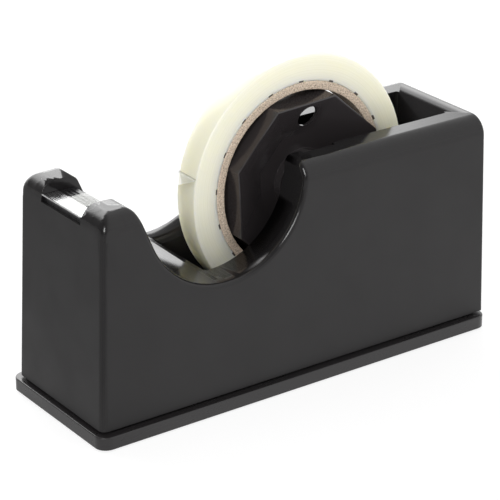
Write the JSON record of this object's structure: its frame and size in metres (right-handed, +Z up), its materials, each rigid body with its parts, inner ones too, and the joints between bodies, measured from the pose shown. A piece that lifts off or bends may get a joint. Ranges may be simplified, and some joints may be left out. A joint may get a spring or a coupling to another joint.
{
  "type": "desktop tape dispenser",
  "caption": "Heavy desktop tape dispenser: a tapered moulded body with a finger dip, a toothed cutter between two cheeks, and a roll of clear tape turning on an octagonal hub in an open well.",
  "frame": {"origin": "middle of the base on the surface the dispenser stands on", "axes": "+Z up; +X along the dispenser from the cutter end to the closed rear end; +Y across it, along the axle"},
  "size_m": [0.197, 0.07, 0.1317],
  "materials": {
    "housing_plastic": "fine-textured black sides, polished rims and tops",
    "base_plastic": "satin black",
    "cast_weight": "rough as cast",
    "zinc_steel": "zinc plated",
    "pad_rubber": "matt",
    "rest_plastic": "black, satin",
    "blade_steel": "bright",
    "hub_plastic": "gloss black",
    "cardboard": "kraft board",
    "tape_film": "wound clear film, cream",
    "strip_film": "clear film"
  },
  "bodies": {
    "dispenser": {"housing": "housing_plastic", "base_plate": "base_plastic", "front_weight": "cast_weight", "floor_weight": "cast_weight", "base_screws": "zinc_steel", "weight_screws": "zinc_steel", "rest_screws": "zinc_steel", "front_left_pad": "pad_rubber", "front_right_pad": "pad_rubber", "rear_left_pad": "pad_rubber", "rear_right_pad": "pad_rubber", "tape_rest": "rest_plastic", "cutter_blade": "blade_steel"},
    "axle_unit": {"axle": "zinc_steel", "left_bearing": "hub_plastic", "right_bearing": "hub_plastic", "tape_strip": "strip_film"},
    "spool": {"left_hub": "hub_plastic", "right_hub": "hub_plastic", "cardboard_core": "cardboard", "tape_roll": "tape_film"}
  },
  "joints": [
    {"name": "axle_lift", "type": "slide", "parent": "dispenser", "child": "axle_unit", "axis": [0, 0, 1], "range_m": [0, 0.08]},
    {"name": "roll_spin", "type": "hinge", "parent": "axle_unit", "child": "spool", "pos_m": [0.0182, 0, 0.0787], "axis": [0, 1, 0], "continuous": true}
  ]
}
